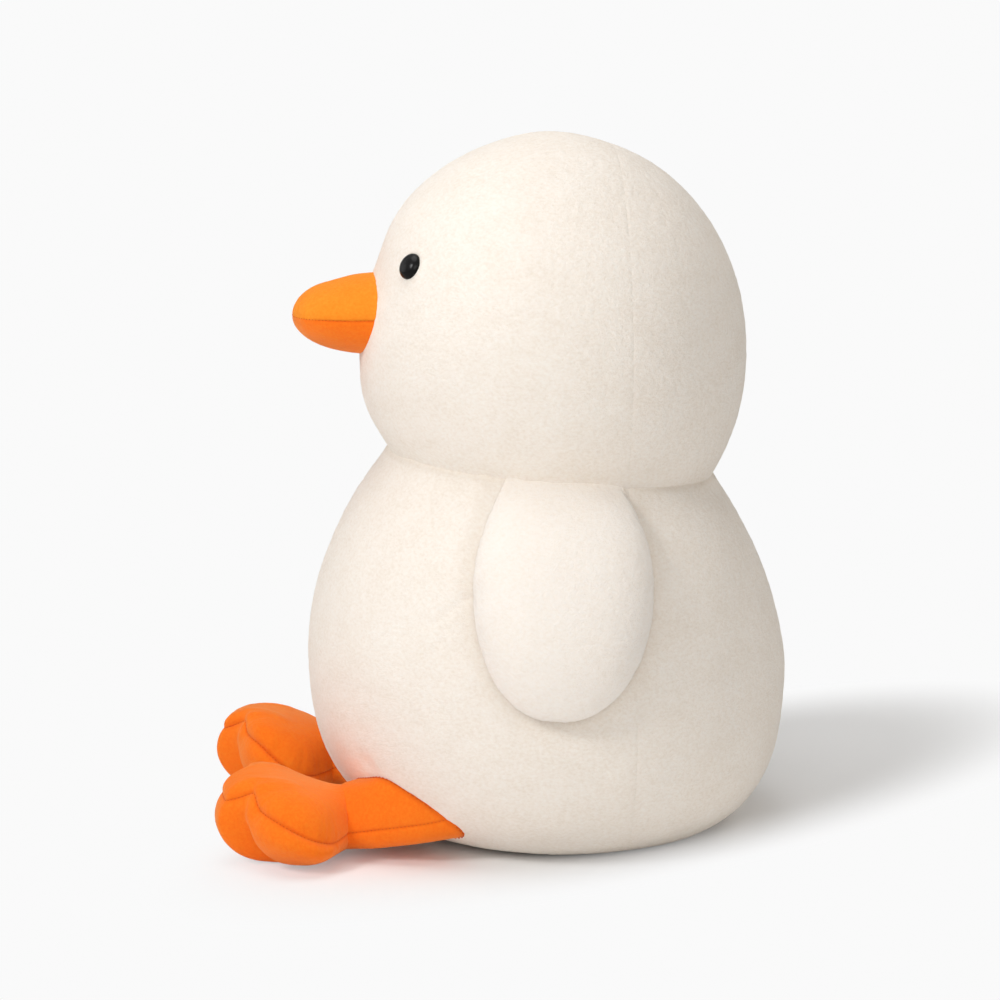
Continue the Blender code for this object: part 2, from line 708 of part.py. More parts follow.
def foot(side_name, mirror):
    """A webbed foot: a plump pad with three toes that curl up, drawn in between them."""
    splay = math.radians(FOOT_SPLAY_DEGREES)
    roll = math.tan(math.radians(FOOT_ROLL_DEGREES))

    def toe_gap(q):
        return math.exp(-(((abs(q) - TOE_GAP_SHARE) / TOE_GAP_WIDTH_SHARE) ** 2))

    def valley(s, q):
        return 1 - TOE_VALLEY_SHARE * toe_gap(q) * smooth_step((s - TOE_START_SHARE) / TOE_DEEPEN_SHARE)

    def seam_level(forward):
        share = forward / FOOT_LENGTH
        dip = HEEL_DIP * math.sin(math.pi * min(share / BALL_SHARE, 1))
        curl = smooth_step((share - CURL_START_SHARE) / CURL_LENGTH_SHARE)
        return blend(LEG_HEIGHT, FOOT_SEAM_HEIGHT, curl) - dip

    def half_width(forward):
        return blend(ANKLE_RADIUS, FOOT_HALF_WIDTH, smooth_step(forward / (FOOT_BROAD_SHARE * FOOT_LENGTH)))

    def seam_height(forward, side):
        share = forward / FOOT_LENGTH
        lift = FOOT_GAP_LIFT * smooth_step((share - LIFT_START_SHARE) / LIFT_LENGTH_SHARE)
        level = seam_level(forward) + lift * toe_gap(side / half_width(forward))
        return level - side * roll * smooth_step(share / BALL_SHARE)

    def place(forward, side, lift):
        out = forward + CLEARANCE / 2
        x = ANKLE_SIDE + out * math.sin(splay) + side * math.cos(splay)
        y = ANKLE_PLACE - out * math.cos(splay) + side * math.sin(splay)
        return Vector((mirror * x, y, seam_height(forward, side) + lift))

    def reach(q):
        return rounded_end(q, FOOT_LENGTH, TOE_CORNER_SHARE, TOE_FAN_POWER_SHARE) - TOE_NOTCH * toe_gap(q)

    def rise(s, q):
        forward = s * reach(q)
        share = forward / FOOT_LENGTH
        top = blend(LEG_HEIGHT + ANKLE_RISE, FOOT_BALL_HEIGHT, smooth_step(share / INSTEP_SHARE))
        top = blend(top, FOOT_TIP_HEIGHT, smooth_step((share - BALL_SHARE) / BALL_SHARE))
        return (top - seam_level(forward)) * valley(s, q)

    def sink(s, q):
        forward = s * reach(q)
        down = seam_height(forward, q * half_width(forward))
        deep = blend(ANKLE_SINK, down, smooth_step(s / BALL_SHARE)) * valley(s, q)
        return min(deep, down) - CLEARANCE / 2

    def side_power(s):
        return blend(2, FOOT_SIDE_POWER_SHARE, smooth_step(s / BALL_SHARE))

    end_powers = (TOE_TOP_POWER_SHARE, TOE_SOLE_POWER_SHARE)
    pad = Pad(place, reach, half_width, rise, sink, end_powers, side_power)
    pad.column_shares = FOOT_COLUMN_SHARES
    columns = 2 * len(FOOT_COLUMN_SHARES) - 2
    sides = ("top", "sole")
    return pad.pieces(side_name + "_foot", sides, FOOT_ROWS, columns, ORANGE_CLOTH, ORANGE_THICKNESS)


def hang_on(hinge_name, position, pieces):
    """Put the pieces under an empty on their hinge, leaving them where they are."""
    hinge = bpy.data.objects.new(hinge_name, None)
    hinge.location = position
    bpy.context.scene.collection.objects.link(hinge)
    for obj in pieces:
        obj.parent = hinge
        obj.location = -hinge.location


def main():
    clear_scene()
    reach = BODY_RADIUS + OVERRUN
    cutters = {
        "front": half_box("behind_the_seam", SEAM_PLACE - CLEARANCE / 2, reach),
        "back": half_box("before_the_seam", -reach, SEAM_PLACE + CLEARANCE / 2),
    }
    body_form = closed_form("body_form", body_surface)
    head_form = closed_form("head_form", head_surface)
    covers = body_and_head(cutters)
    base_panel()
    eyes(covers["head_front_panel"], covers["head_filling"])
    beak(head_form)
    hip_radius = body_radius(HIP_HEIGHT) + CLEARANCE
    hip_turn = math.asin(blend(THIGH_SIDE, ANKLE_SIDE, 0.5) / hip_radius)
    for side_name, mirror in (("left", 1), ("right", -1)):
        shoulder = (mirror * WING_HINGE_SIDE, 0, WING_HINGE_HEIGHT)
        hang_on(side_name + "_wing_hinge", shoulder, wing(side_name, mirror))
        hip = body_point(HIP_HEIGHT, mirror * hip_turn)
        hang_on(side_name + "_leg_hinge", hip, leg(side_name, mirror, body_form) + foot(side_name, mirror))


main()
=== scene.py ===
import math

import bmesh
import bpy
import numpy as np
from mathutils import Matrix, Vector, kdtree


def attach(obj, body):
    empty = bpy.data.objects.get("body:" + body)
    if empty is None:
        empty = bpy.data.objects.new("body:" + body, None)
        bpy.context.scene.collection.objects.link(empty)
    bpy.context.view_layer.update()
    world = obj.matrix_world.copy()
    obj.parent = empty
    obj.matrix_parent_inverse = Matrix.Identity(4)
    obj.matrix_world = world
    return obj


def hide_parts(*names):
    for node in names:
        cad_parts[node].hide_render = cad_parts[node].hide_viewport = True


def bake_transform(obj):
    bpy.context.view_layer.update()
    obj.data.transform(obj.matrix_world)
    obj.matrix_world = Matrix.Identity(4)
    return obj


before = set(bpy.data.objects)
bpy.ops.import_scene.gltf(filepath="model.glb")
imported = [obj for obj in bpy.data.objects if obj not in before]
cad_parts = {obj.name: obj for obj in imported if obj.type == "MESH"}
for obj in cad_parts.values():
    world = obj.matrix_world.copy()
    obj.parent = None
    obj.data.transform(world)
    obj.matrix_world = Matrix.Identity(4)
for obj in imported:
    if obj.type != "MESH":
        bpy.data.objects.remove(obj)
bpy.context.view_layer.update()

# Body
BODY_RADIUS = 0.1385
BODY_WIDEST_HEIGHT = 0.095
BASE_RADIUS = 0.072
BASE_SHIFT = 0.0075
CHEST_FORWARD = 0.0020
BOWL_POWER = 2.5
TAPER_POWER = 1.8
SEAM_PLACE = 0.036

# Neck crease
NECK_RADIUS = 0.0935
NECK_HEIGHT = 0.2115
NECK_HEM = 0.008
NECK_TILT = math.tan(math.radians(4.9))
NECK_SHARE = math.sqrt(1 - (NECK_RADIUS / BODY_RADIUS) ** 2) ** (2 / TAPER_POWER)
BODY_DOME = (NECK_HEIGHT - BODY_WIDEST_HEIGHT) / NECK_SHARE

# Head and eyes
HEAD_RADIUS = 0.1125
HEAD_WIDEST_HEIGHT = 0.275
HEAD_CROWN = 0.123
HEAD_TOP_HEIGHT = HEAD_WIDEST_HEIGHT + HEAD_CROWN
HEAD_SHIFT = 0.0015
HEAD_JOWL = (HEAD_WIDEST_HEIGHT - NECK_HEIGHT) / math.sqrt(1 - (NECK_RADIUS / HEAD_RADIUS) ** 2)
EYE_RADIUS = 0.0075
EYE_DOME = 0.0044
EYE_RIM = 0.0009
EYE_TURN = math.radians(34.4)
EYE_HEIGHT = HEAD_WIDEST_HEIGHT + HEAD_CROWN * 0.444

# Beak
BEAK_HEIGHT = 0.2975
BEAK_ROOT = 0.085
BEAK_LENGTH = 0.0605
BEAK_HALF_WIDTH = 0.0355
BEAK_TOP = 0.0240
BEAK_CHIN = 0.0228
BEAK_CORNER = 0.42
BEAK_TIP_POWER = 2.75

# Wings
WING_TOP_HEIGHT = 0.2175
WING_LENGTH = 0.1245
WING_PLACE = -0.0010
WING_SWEEP = 0.0055
WING_ROOT_HALF_WIDTH = 0.0295
WING_HALF_WIDTH = 0.0465
WING_THICKNESS = 0.027
WING_ROOT_STANDOFF = 0.0008
WING_STANDOFF = 0.0065
WING_ROOT_DEPTH = 0.0030
WING_SLOPE = math.tan(math.radians(38))
WING_GAP = 0.0007
WING_PINCH = 0.009
WING_CORNER = 0.47
WING_TIP_POWER = 4.6
WING_SIDE_POWER = 3.2

# Legs and feet
ANKLE_SIDE = 0.0685
ANKLE_PLACE = -0.1215
ANKLE_RADIUS = 0.0175
ANKLE_RISE = 0.0235
ANKLE_SINK = 0.0130
LEG_HEIGHT = 0.0165
LEG_LENGTH = 0.076
THIGH_SIDE = 0.0775
THIGH_HEIGHT = 0.0310
THIGH_HALF_WIDTH = 0.0310
THIGH_NARROWING = 0.006
THIGH_RISE = 0.0275
THIGH_TILT = 0.25
THIGH_SIDE_POWER = 4.5
ANKLE_HEM = 0.003
THIGH_SINK = 0.0150
FAR_LEG_SINK = 0.0022
FOOT_SPLAY = math.radians(8)
FOOT_ROLL = math.tan(math.radians(5.5))
FOOT_LENGTH = 0.0715
FOOT_HALF_WIDTH = 0.0415
FOOT_BALL_HEIGHT = 0.0525
FOOT_TIP_HEIGHT = 0.0500
FOOT_SEAM_HEIGHT = 0.0385
FOOT_GAP_LIFT = 0.0075
HEEL_DIP = 0.0006
TOE_FORWARD = 0.24
TOE_LEAD = 0.19
TOE_VALLEY = 0.40
TOE_GAP = 0.39
TOE_GAP_WIDTH = 0.110
TOE_CORNER = 0.34
TOE_FAN_POWER = 2.6
TOE_TOP_POWER = 7.0
TOE_SOLE_POWER = 9.0
SOLE_BULGE = 0.0060
SOLE_VALLEY = 0.22
FLOOR_GAP = 0.0002
FOOT_SIDE_POWER = 3.2

# Cloth, seams and thread
PRESSURE = 4.0
CLOTH_FRAMES = 20
CREASE_WIDTH = 0.0008
HAND_STITCH = dict(pitch=0.0030, length=0.0021, radius=0.00034, lift=0.00025)
SEAM_STITCH = dict(pitch=0.0022, length=0.0011, radius=0.00020, lift=0.00008)

# Marks in the body's pile: start, end, depth and width, on the left side
FOLD = ((0.109, -0.0764, 0.139), (0.116, -0.052, 0.1565), 0.0007, 0.0030)
DIMPLE = ((0.077, -0.108, 0.054), (0.077, -0.108, 0.054), 0.0016, 0.0065)


def mix(low, high, share):
    return low + (high - low) * share


def ease(share):
    share = np.clip(share, 0, 1)
    return share * share * (3 - 2 * share)


def root(value):
    return np.sqrt(np.maximum(value, 0))


def bell(distance, width):
    return np.exp(-((distance / width) ** 2))


TABLE = np.random.RandomState(7).uniform(-1, 1, 65536)


def grain(points, size, seed=0):
    """Smooth noise from -1 to 1 whose lumps are about this size."""
    scaled = np.asarray(points) / size
    cell = np.floor(scaled).astype(np.int64)
    part = scaled - cell
    part = part * part * (3 - 2 * part)
    total = 0
    for corner in range(8):
        step = np.array([corner & 1, corner >> 1 & 1, corner >> 2])
        x, y, z = (cell + step).T
        value = TABLE[(x * 73856093 ^ y * 19349663 ^ z * 83492791 ^ seed * 6542989) & 65535]
        weight = np.prod(np.where(step, part, 1 - part), axis=1)
        total = total + value * weight
    return total


def body_radius(height):
    drop = 1 - np.clip(height, 0, BODY_WIDEST_HEIGHT) / BODY_WIDEST_HEIGHT
    bowl = mix(BASE_RADIUS, BODY_RADIUS, root(1 - drop**BOWL_POWER))
    rise = np.clip((height - BODY_WIDEST_HEIGHT) / BODY_DOME, 0, 1)
    return np.where(height < BODY_WIDEST_HEIGHT, bowl, BODY_RADIUS * root(1 - rise**TAPER_POWER))


def body_centre(height):
    low = BASE_SHIFT * (1 - np.clip(height / BODY_WIDEST_HEIGHT, 0, 1)) ** 2
    rise = np.clip((height - BODY_WIDEST_HEIGHT) / (NECK_HEIGHT - BODY_WIDEST_HEIGHT), 0, 1)
    high = HEAD_SHIFT * ease(rise) - CHEST_FORWARD * np.sin(math.pi * rise)
    return np.where(height < BODY_WIDEST_HEIGHT, low, high)


def body_lean(height):
    return NECK_TILT * np.maximum(height / NECK_HEIGHT, 0) ** 3


def body_point(height, turn):
    radius = body_radius(height)
    place = body_centre(height) - radius * np.cos(turn)
    return np.stack([radius * np.sin(turn), place, height - place * body_lean(height)], -1)


def head_radius(height):
    low = HEAD_RADIUS * root(1 - ((HEAD_WIDEST_HEIGHT - height) / HEAD_JOWL) ** 2)
    rise = np.clip((height - HEAD_WIDEST_HEIGHT) / HEAD_CROWN, 0, 1)
    return np.where(height < HEAD_WIDEST_HEIGHT, low, HEAD_RADIUS * root(1 - rise**2))


def head_place(height, place):
    fall = np.clip((HEAD_TOP_HEIGHT - height) / (HEAD_TOP_HEIGHT - NECK_HEIGHT), 0, 1)
    return height - place * NECK_TILT * fall**3


def head_point(height, turn):
    radius = head_radius(height)
    place = HEAD_SHIFT - radius * np.cos(turn)
    return np.stack([radius * np.sin(turn), place, head_place(height, place)], -1)


def new_object(name, vertices, faces, material, indices=None):
    """A smooth-shaded mesh object."""
    mesh = bpy.data.meshes.new(name)
    mesh.from_pydata([tuple(v) for v in vertices], [], faces)
    if indices is not None:
        mesh.polygons.foreach_set("material_index", indices)
    mesh.materials.append(material)
    mesh.shade_smooth()
    obj = bpy.data.objects.new(name, mesh)
    bpy.context.scene.collection.objects.link(obj)
    return obj


def grid_faces(rows, columns, closed=False, start=0):
    """Quads of a grid of points given row by row."""
    across = columns if closed else columns - 1
    faces = []
    for row in range(rows - 1):
        for column in range(across):
            low = start + row * columns + column
            after = start + row * columns + (column + 1) % columns
            faces.append((low, after, after + columns, low + columns))
    return faces


def coordinates(mesh):
    points = np.empty(len(mesh.vertices) * 3)
    mesh.vertices.foreach_get("co", points)
    return points.reshape(-1, 3)


def normals(mesh):
    made = np.empty(len(mesh.vertices) * 3, dtype=np.float32)
    mesh.vertex_normals.foreach_get("vector", made)
    return made.reshape(-1, 3).astype(float)


def move_to(mesh, points):
    mesh.vertices.foreach_set("co", np.asarray(points, dtype=float).ravel())
    mesh.update()


def subdivided(obj, levels):
    """Round the mesh by this many levels of subdivision, and keep the result."""
    modifier = obj.modifiers.new("rounding", "SUBSURF")
    modifier.levels = levels
    modifier.render_levels = levels
    return applied(obj)


def applied(obj):
    """Replace the object's mesh with what its modifiers make of it."""
    graph = bpy.context.evaluated_depsgraph_get()
    graph.update()
    made = bpy.data.meshes.new_from_object(obj.evaluated_get(graph), depsgraph=graph)
    obj.modifiers.clear()
    old = obj.data
    obj.data = made
    made.name = old.name
    bpy.data.meshes.remove(old)
    return obj


def outward(mesh, centre):
    """Turn the faces away from a point inside the mesh."""
    bm = bmesh.new()
    bm.from_mesh(mesh)
    bmesh.ops.recalc_face_normals(bm, faces=bm.faces)
    bm.normal_update()
    middle = Vector(centre)
    if sum((f.calc_center_median() - middle).dot(f.normal) * f.calc_area() for f in bm.faces) < 0:
        bmesh.ops.reverse_faces(bm, faces=bm.faces)
    bm.to_mesh(mesh)
    bm.free()


class Pad:
    """A sewn pad of two faces that meet in a seam down both sides and round the far end.

    A bulge pushes the lower face out past the seam.
    """

    def __init__(self, place, reach, half_width, rise, sink, end_power=None, side_power=None, bulge=0):
        self.place = place
        self.reach = reach
        self.half_width = half_width
        self.rise = rise
        self.sink = sink
        self.end_power = end_power
        self.side_power = side_power or (lambda s: 2)
        self.bulge = bulge

    def points(self, s, q, face):
        forward = s * self.reach(q)
        side = q * self.half_width(forward)
        stand = self.rise(s, q) if face > 0 else self.sink(s, q)
        roundness = root(1 - np.abs(q) ** self.side_power(s))
        if self.end_power:
            roundness = roundness * root(1 - s ** self.end_power[face < 0])
        if face < 0:
            out = self.bulge * 4 * roundness * (1 - roundness)
            forward = forward + out * s**4
            side = side + out * q**3 * ease(s / 0.5)
        return self.place(forward, side, face * np.maximum(stand, 0) * roundness)

    def mesh(self, name, rows, columns, material):
        """Both faces as one mesh, whose second material index is the lower face."""
        along = np.linspace(0, 1, rows + 1)
        if self.end_power:
            along = np.sin(along * math.pi / 2)
        across = -np.cos(np.linspace(0, math.pi, columns + 1))
        s, q = np.meshgrid(along, across, indexing="ij")
        upper = self.points(s, q, 1).reshape(-1, 3)
        lower = self.points(s, q, -1).reshape(-1, 3)
        faces = grid_faces(rows + 1, columns + 1)
        count = len(upper)
        under = [tuple(count + i for i in face[::-1]) for face in faces]
        indices = [0] * len(faces) + [1] * len(under)
        obj = new_object(name, np.concatenate([upper, lower]), faces + under, material, indices)
        bm = bmesh.new()
        bm.from_mesh(obj.data)
        bmesh.ops.remove_doubles(bm, verts=bm.verts, dist=1e-6)
        bm.to_mesh(obj.data)
        bm.free()
        outward(obj.data, upper.mean(axis=0) * 0.5 + lower.mean(axis=0) * 0.5)
        return obj


def rounded_end(q, length, corner, power=2.3):
    return length * mix(corner, 1, root(1 - np.abs(q) ** power))


def at(x, y, z):
    x, y, z = np.broadcast_arrays(x, y, z)
    return np.stack([x, y, z], -1)


def beak_pad():
    return Pad(
        place=lambda forward, side, lift: at(side, -BEAK_ROOT - forward, BEAK_HEIGHT + lift),
        reach=lambda q: rounded_end(q, BEAK_LENGTH, BEAK_CORNER),
        half_width=lambda forward: BEAK_HALF_WIDTH,
        rise=lambda s, q: BEAK_TOP - 0.0012 * bell(s - 0.62, 0.16),
        sink=lambda s, q: BEAK_CHIN + 0 * s,
        end_power=(BEAK_TIP_POWER, BEAK_TIP_POWER),
    )


def body_side(place, height):
    level = height
    for _ in range(3):
        level = height + place * body_lean(level)
    across = place - body_centre(level)
    return root(body_radius(level) ** 2 - across**2)


def wing_pad(mirror):
    near = 0.0003

    def standoff(forward):
        return mix(WING_ROOT_STANDOFF, WING_STANDOFF, ease(forward / (WING_LENGTH * WING_CORNER)))

    def place(forward, side, lift):
        height = WING_TOP_HEIGHT - forward
        along = WING_PLACE - WING_SWEEP * forward / WING_LENGTH + side
        across = body_side(along, height)
        slide = (body_side(along + near, height) - body_side(along - near, height)) / (2 * near)
        climb = (body_side(along, height + near) - body_side(along, height - near)) / (2 * near)
        length = np.sqrt(1 + slide**2 + climb**2)
        stand = (standoff(forward) + lift) / length
        return at(mirror * (across + stand), along - slide * stand, height - climb * stand)

    def reach(q):
        return rounded_end(q, WING_LENGTH, WING_CORNER)

    def rise(s, q):
        forward = s * reach(q)
        full = WING_THICKNESS - standoff(forward)
        past = np.maximum(forward - NECK_HEM, 0)
        return full * (1 - np.exp(-(WING_ROOT_DEPTH + past * WING_SLOPE) / full)) * pinch(forward)

    def half_width(forward):
        share = np.minimum(forward / (WING_LENGTH * WING_CORNER), 1)
        return mix(WING_ROOT_HALF_WIDTH, WING_HALF_WIDTH, 1 - (1 - share) ** 2)

    def sink(s, q):
        forward = s * reach(q)
        return (standoff(forward) - WING_GAP) * pinch(forward)

    def pinch(forward):
        """Rounds the top over to the seam that holds it."""
        return root(1 - (1 - np.clip(forward / WING_PINCH, 0, 1)) ** 2)

    powers = (WING_TIP_POWER, WING_TIP_POWER)
    return Pad(place, reach, half_width, rise, sink, powers, lambda s: WING_SIDE_POWER)


def leg_pad(mirror):
    def place(forward, side, lift):
        share = forward / LEG_LENGTH
        forward = mix(-ANKLE_HEM, LEG_LENGTH, share)
        angle = FOOT_SPLAY * (1 - share)
        x = mix(ANKLE_SIDE, THIGH_SIDE, share) + side * np.cos(angle)
        y = ANKLE_PLACE + forward + side * np.sin(angle)
        return at(mirror * x, y, mix(LEG_HEIGHT, THIGH_HEIGHT, share) + lift)

    def half_width(forward):
        share = forward / LEG_LENGTH
        wide = mix(THIGH_HALF_WIDTH, ANKLE_RADIUS, np.abs(1 - share) ** 1.8)
        return wide - THIGH_NARROWING * ease((share - 0.5) / 0.5)

    def rise(s, q):
        full = mix(THIGH_RISE, ANKLE_RISE, (1 - s) ** 2) * (0.94 + 0.06 * ease(s / 0.06))
        return full * (1 + THIGH_TILT * q * ease(s / 0.3))

    low = ANKLE_SINK + (FAR_LEG_SINK if mirror < 0 else 0)
    return Pad(
        place=place,
        reach=lambda q: LEG_LENGTH + 0 * q,
        half_width=half_width,
        rise=rise,
        sink=lambda s, q: mix(mix(ANKLE_SINK, low, ease(s / 0.15)), THIGH_SINK, s),
        side_power=lambda s: mix(2, THIGH_SIDE_POWER, ease(s / 0.3)),
    )


def foot_pad(mirror):
    def toe_gap(q):
        return bell(np.abs(q) - TOE_GAP, TOE_GAP_WIDTH)

    def valley(s, q, depth):
        return 1 - depth * toe_gap(q) * ease((s - 0.5) / 0.45)

    def seam_level(forward):
        share = forward / FOOT_LENGTH
        dip = HEEL_DIP * np.sin(math.pi * np.clip(share / 0.6, 0, 1))
        return mix(LEG_HEIGHT, FOOT_SEAM_HEIGHT, ease((share - 0.08) / 0.72)) - dip

    def half_width(forward):
        return mix(FOOT_HALF_WIDTH, ANKLE_RADIUS, np.clip(1 - forward / (0.38 * FOOT_LENGTH), 0, 1) ** 2)

    def seam_height(forward, side):
        share = forward / FOOT_LENGTH
        lift = FOOT_GAP_LIFT * toe_gap(side / half_width(forward)) * ease((share - 0.3) / 0.4)
        return seam_level(forward) + lift - side * FOOT_ROLL * ease((share - 0.2) / 0.5)

    def place(forward, side, lift):
        x = ANKLE_SIDE + forward * math.sin(FOOT_SPLAY) + side * math.cos(FOOT_SPLAY)
        y = ANKLE_PLACE - forward * math.cos(FOOT_SPLAY) + side * math.sin(FOOT_SPLAY)
        return at(mirror * x, y, seam_height(forward, side) + lift)

    def reach(q):
        side_toes = mix(TOE_CORNER, 1 - TOE_FORWARD, root(1 - np.abs(q) ** TOE_FAN_POWER))
        return FOOT_LENGTH * (side_toes + TOE_LEAD * ease((0.37 - np.abs(q)) / 0.2))

    def rise(s, q):
        share = s * reach(q) / FOOT_LENGTH
        top = mix(LEG_HEIGHT + ANKLE_RISE, FOOT_BALL_HEIGHT, ease(share / 0.75))
        top = mix(top, FOOT_TIP_HEIGHT, ease((share - 0.7) / 0.3))
        return (top - seam_level(s * reach(q))) * valley(s, q, TOE_VALLEY)

    def sink(s, q):
        forward = s * reach(q)
        down = seam_height(forward, q * half_width(forward))
        deep = mix(ANKLE_SINK, down, ease(s / 0.5)) * valley(s, q, SOLE_VALLEY)
        return np.minimum(deep, down) - FLOOR_GAP

    powers = (TOE_TOP_POWER, TOE_SOLE_POWER)
    return Pad(
        place, reach, half_width, rise, sink, powers,
        lambda s: mix(2, FOOT_SIDE_POWER, ease(s / 0.5)), SOLE_BULGE,
    )


def seam_vertices(mesh, ends=True):
    """Chains of the vertices on edges between the two panels, and on open edges."""
    sides = {}
    for face in mesh.polygons:
        for key in face.edge_keys:
            sides.setdefault(key, []).append(face.material_index)
    near = {}
    for (a, b), found in sides.items():
        if (ends and len(found) == 1) or found[0] != found[-1]:
            near.setdefault(a, []).append(b)
            near.setdefault(b, []).append(a)
    chains = []
    left = set(near)
    while left:
        ends = [v for v in sorted(left) if len(near[v]) == 1]
        here = ends[0] if ends else min(left)
        chain = []
        while here is not None:
            chain.append(here)
            left.discard(here)
            here = next((v for v in near[here] if v in left), None)
        chains.append(chain)
    return chains


def seam_reading(mesh, ends=True):
    """Distance of each vertex from the nearest seam, and the place along that seam."""
    points = coordinates(mesh)
    places = []
    run = 0.0
    for chain in seam_vertices(mesh, ends):
        for i, v in enumerate(chain):
            if i:
                run += float(np.linalg.norm(points[v] - points[chain[i - 1]]))
            places.append((v, run))
        run += 1.0
    if not places:
        return np.full(len(points), 1.0), np.zeros(len(points))
    tree = kdtree.KDTree(len(places))
    for i, (v, _) in enumerate(places):
        tree.insert(points[v], i)
    tree.balance()
    runs = np.array([run for _, run in places])
    found = [tree.find(p)[1:] for p in points]
    return np.array([f[1] for f in found]), runs[[f[0] for f in found]]


def paint_crease_shade(mesh, distance, width, strength):
    """Note how near each vertex is to a crease, as painted shade that darkens the cloth there."""
    layer = mesh.attributes.get("crease") or mesh.attributes.new("crease", "FLOAT", "POINT")
    value = np.zeros(len(mesh.vertices), dtype=np.float32)
    layer.data.foreach_get("value", value)
    value = np.maximum(value, strength * bell(distance, width)).astype(np.float32)
    layer.data.foreach_set("value", value)


def sewn(mesh, depth, width, pucker=0.0, pitch=0.006, fade=0.008, seed=1, seam_shade=0.35, share=1.0):
    """Draw the panels' seam in, with puckers that run away from it, and paint shade along it and along open
    edges.
    """
    paint_crease_shade(mesh, seam_reading(mesh)[0], CREASE_WIDTH, seam_shade * 0.4 * share)
    distance, run = seam_reading(mesh, ends=False)
    paint_crease_shade(mesh, distance, CREASE_WIDTH, seam_shade * share)
    points = coordinates(mesh)
    line = np.stack([run, 0 * run, 0 * run], -1)
    waves = 0.65 * grain(line, pitch, seed) + 0.35 * grain(line, pitch / 2.3, seed + 1)
    near = np.exp(-distance / fade) * (1 - np.exp(-distance / (0.25 * fade)))
    offset = share * -depth * np.exp(-distance / width) + pucker * 2.2 * waves * near
    move_to(mesh, points + normals(mesh) * offset[:, None])


def piled(mesh, amount, size, seed=3):
    """Lift and lower the surface by the clumps of the pile."""
    points = coordinates(mesh)
    offset = amount * (0.6 * grain(points, size, seed) + 0.4 * grain(points, size / 2.1, seed + 1))
    move_to(mesh, points + normals(mesh) * offset[:, None])


def stitched(name, runs, pitch, length, radius, lift):
    """Short threads along runs of (point, normal) rows, whose ends dive into the cloth."""
    vertices, faces = [], []
    rings, around = 7, 6
    for points, away in runs:
        points = np.asarray(points, dtype=float)
        steps = np.linalg.norm(np.diff(points, axis=0), axis=1)
        path = np.concatenate([[0], np.cumsum(steps)])
        for middle in np.arange(pitch / 2, path[-1], pitch):
            share = np.linspace(-1, 1, rings)
            along = np.clip(middle + share * length / 2, 0, path[-1])
            centre = np.stack([np.interp(along, path, points[:, i]) for i in range(3)], -1)
            up = np.stack([np.interp(along, path, away[:, i]) for i in range(3)], -1)
            up /= np.maximum(np.linalg.norm(up, axis=1), 1e-9)[:, None]
            forward = centre[-1] - centre[0]
            forward /= max(np.linalg.norm(forward), 1e-9)
            side = np.cross(forward, up)
            centre = centre + up * (lift * (1 - 1.6 * share**2))[:, None]
            thick = radius * np.sqrt(1 - 0.8 * share**2)
            start = len(vertices)
            for i in range(rings):
                for turn in np.linspace(0, 2 * math.pi, around, endpoint=False):
                    offset = side[i] * math.cos(turn) + up[i] * math.sin(turn)
                    vertices.append(centre[i] + offset * thick[i])
            faces += grid_faces(rings, around, closed=True, start=start)
            faces.append(tuple(start + i for i in range(around))[::-1])
            faces.append(tuple(start + (rings - 1) * around + i for i in range(around)))
    obj = new_object(name, vertices, faces, THREAD)
    return obj


def seam_runs(mesh):
    """Points and normals along each seam between the panels."""
    points = coordinates(mesh)
    away = normals(mesh)
    return [(points[chain], away[chain]) for chain in seam_vertices(mesh, ends=False) if len(chain) > 3]


def body_gap(points):
    """How far points stand off the body's surface."""
    level = points[..., 2]
    for _ in range(3):
        level = points[..., 2] + points[..., 1] * body_lean(level)
    return np.hypot(points[..., 0], points[..., 1] - body_centre(level)) - body_radius(level)


def joining_run(pad, face):
    """Where one face of a leg meets the body, with the leg's normals there."""
    q = np.linspace(-0.985, 0.985, 80)
    low = np.zeros_like(q)
    high = np.ones_like(q)
    for _ in range(24):
        half = (low + high) / 2
        outside = body_gap(pad.points(half, q, face)) > 0.0006
        low = np.where(outside, half, low)
        high = np.where(outside, high, half)
    near = 1e-3
    points = pad.points(low, q, face)
    along = pad.points(low + near, q, face) - points
    across = pad.points(low, q + near, face) - points
    away = np.cross(across, along)
    away /= np.linalg.norm(away, axis=1)[:, None]
    away *= np.sign((away[:, 2] * face).mean())
    return points, away


def stuffed(obj, cap):
    """Blow the cover up between its held seams by cloth simulation, without making it larger."""
    mesh = obj.data
    start = coordinates(mesh)
    away = normals(mesh)
    held = sorted({v for chain in seam_vertices(mesh) for v in chain})
    group = obj.vertex_groups.new(name="seam")
    group.add(held, 1.0, "REPLACE")
    modifier = obj.modifiers.new("stuffing", "CLOTH")
    cover = modifier.settings
    cover.quality = 6
    cover.mass = 0.15
    cover.tension_stiffness = 14
    cover.compression_stiffness = 14
    cover.shear_stiffness = 5
    cover.bending_stiffness = 0.4
    cover.vertex_group_mass = "seam"
    cover.use_pressure = True
    cover.uniform_pressure_force = PRESSURE
    cover.effector_weights.gravity = 0
    modifier.collision_settings.use_collision = False
    modifier.collision_settings.use_self_collision = False
    modifier.point_cache.frame_start = 1
    modifier.point_cache.frame_end = CLOTH_FRAMES
    scene = bpy.context.scene
    for number in range(1, CLOTH_FRAMES + 1):
        scene.frame_set(number)
    graph = bpy.context.evaluated_depsgraph_get()
    move = coordinates(obj.evaluated_get(graph).data) - start
    obj.modifiers.remove(modifier)
    obj.vertex_groups.remove(group)
    scene.frame_set(1)
    distance, _ = seam_reading(mesh)
    swell = (move * away).sum(axis=1).mean()
    move -= away * (swell * ease(distance / 0.012))[:, None]
    length = np.maximum(np.linalg.norm(move, axis=1), 1e-9)
    move_to(mesh, start + move * (cap * np.tanh(length / cap) / length)[:, None])
    return obj


